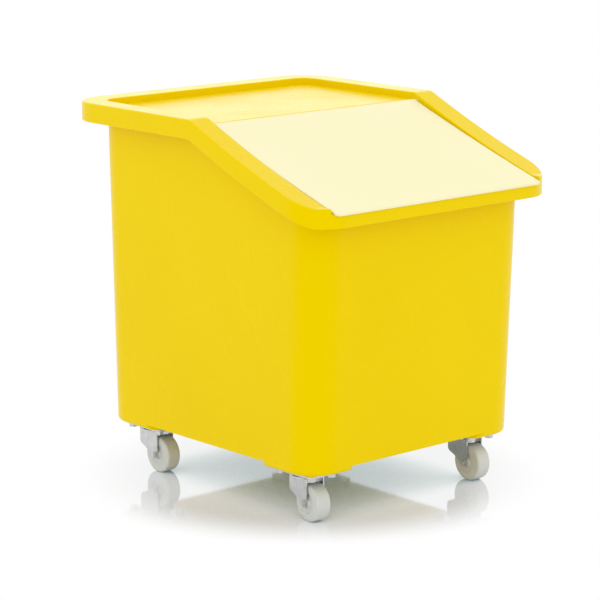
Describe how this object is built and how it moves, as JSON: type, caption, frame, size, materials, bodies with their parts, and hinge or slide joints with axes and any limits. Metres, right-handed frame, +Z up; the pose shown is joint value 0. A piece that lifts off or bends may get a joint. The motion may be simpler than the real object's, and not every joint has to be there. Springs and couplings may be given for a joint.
{
  "type": "ingredient bin",
  "caption": "Moulded ingredient bin with a sloped front, a recessed rear deck, a hinged lid sheet over the mouth and swivel plate casters under its corners.",
  "frame": {"origin": "centre of the footprint of the whole object's box, on the floor under the wheels", "axes": "+Z up; the low, sloped front with the mouth faces -Y; +X is to the right when seen from the front"},
  "size_m": [0.57, 0.66, 0.666],
  "materials": {
    "yellow_plastic": "satin moulded polyethylene",
    "cream_sheet": "satin polyethylene sheet",
    "steel_rod": "drawn",
    "bush_plastic": "moulded",
    "plated_steel": "bright zinc plate",
    "wheel_nylon": "moulded nylon",
    "brass_insert": "machined"
  },
  "bodies": {
    "tub": {"tub": "yellow_plastic", "hinge_rod": "steel_rod", "hinge_bush_left": "bush_plastic", "hinge_bush_right": "bush_plastic", "top_plate_front_left": "plated_steel", "king_pin_front_left": "plated_steel", "plate_bolts_front_left": "plated_steel", "top_plate_front_right": "plated_steel", "king_pin_front_right": "plated_steel", "plate_bolts_front_right": "plated_steel", "top_plate_rear_left": "plated_steel", "king_pin_rear_left": "plated_steel", "plate_bolts_rear_left": "plated_steel", "top_plate_rear_right": "plated_steel", "king_pin_rear_right": "plated_steel", "plate_bolts_rear_right": "plated_steel", "plate_washers": "plated_steel", "caster_inserts": "brass_insert"},
    "lid": {"lid": "cream_sheet"},
    "swivel_front_left": {"swivel_bearing_front_left": "plated_steel", "fork_front_left": "plated_steel", "axle_sleeve_front_left": "plated_steel", "axle_bolt_front_left": "plated_steel", "axle_nut_front_left": "plated_steel"},
    "wheel_front_left": {"wheel_front_left": "wheel_nylon"},
    "swivel_front_right": {"swivel_bearing_front_right": "plated_steel", "fork_front_right": "plated_steel", "axle_sleeve_front_right": "plated_steel", "axle_bolt_front_right": "plated_steel", "axle_nut_front_right": "plated_steel"},
    "wheel_front_right": {"wheel_front_right": "wheel_nylon"},
    "swivel_rear_left": {"swivel_bearing_rear_left": "plated_steel", "fork_rear_left": "plated_steel", "axle_sleeve_rear_left": "plated_steel", "axle_bolt_rear_left": "plated_steel", "axle_nut_rear_left": "plated_steel"},
    "wheel_rear_left": {"wheel_rear_left": "wheel_nylon"},
    "swivel_rear_right": {"swivel_bearing_rear_right": "plated_steel", "fork_rear_right": "plated_steel", "axle_sleeve_rear_right": "plated_steel", "axle_bolt_rear_right": "plated_steel", "axle_nut_rear_right": "plated_steel"},
    "wheel_rear_right": {"wheel_rear_right": "wheel_nylon"}
  },
  "joints": [
    {"name": "lid_hinge", "type": "hinge", "parent": "tub", "child": "lid", "pos_m": [0, -0.01468, 0.64934], "axis": [-1, 0, 0], "range_deg": [0, 130]},
    {"name": "caster_swivel_front_left", "type": "hinge", "parent": "tub", "child": "swivel_front_left", "pos_m": [-0.189, -0.2005, 0.076], "axis": [0, 0, 1], "continuous": true},
    {"name": "wheel_spin_front_left", "type": "hinge", "parent": "swivel_front_left", "child": "wheel_front_left", "pos_m": [-0.19156, -0.22134, 0.0325], "axis": [0.9925, -0.1219, 0], "continuous": true},
    {"name": "caster_swivel_front_right", "type": "hinge", "parent": "tub", "child": "swivel_front_right", "pos_m": [0.189, -0.2005, 0.076], "axis": [0, 0, 1], "continuous": true},
    {"name": "wheel_spin_front_right", "type": "hinge", "parent": "swivel_front_right", "child": "wheel_front_right", "pos_m": [0.1879, -0.22147, 0.0325], "axis": [0.9986, -0.0523, 0], "continuous": true},
    {"name": "caster_swivel_rear_left", "type": "hinge", "parent": "tub", "child": "swivel_rear_left", "pos_m": [-0.189, 0.2055, 0.076], "axis": [0, 0, 1], "continuous": true},
    {"name": "wheel_spin_rear_left", "type": "hinge", "parent": "swivel_rear_left", "child": "wheel_rear_left", "pos_m": [-0.18937, 0.1845, 0.0325], "axis": [0.9998, -0.0175, 0], "continuous": true},
    {"name": "caster_swivel_rear_right", "type": "hinge", "parent": "tub", "child": "swivel_rear_right", "pos_m": [0.189, 0.2055, 0.076], "axis": [0, 0, 1], "continuous": true},
    {"name": "wheel_spin_rear_right", "type": "hinge", "parent": "swivel_rear_right", "child": "wheel_rear_right", "pos_m": [0.18973, 0.18451, 0.0325], "axis": [0.9994, 0.0349, 0], "continuous": true}
  ]
}
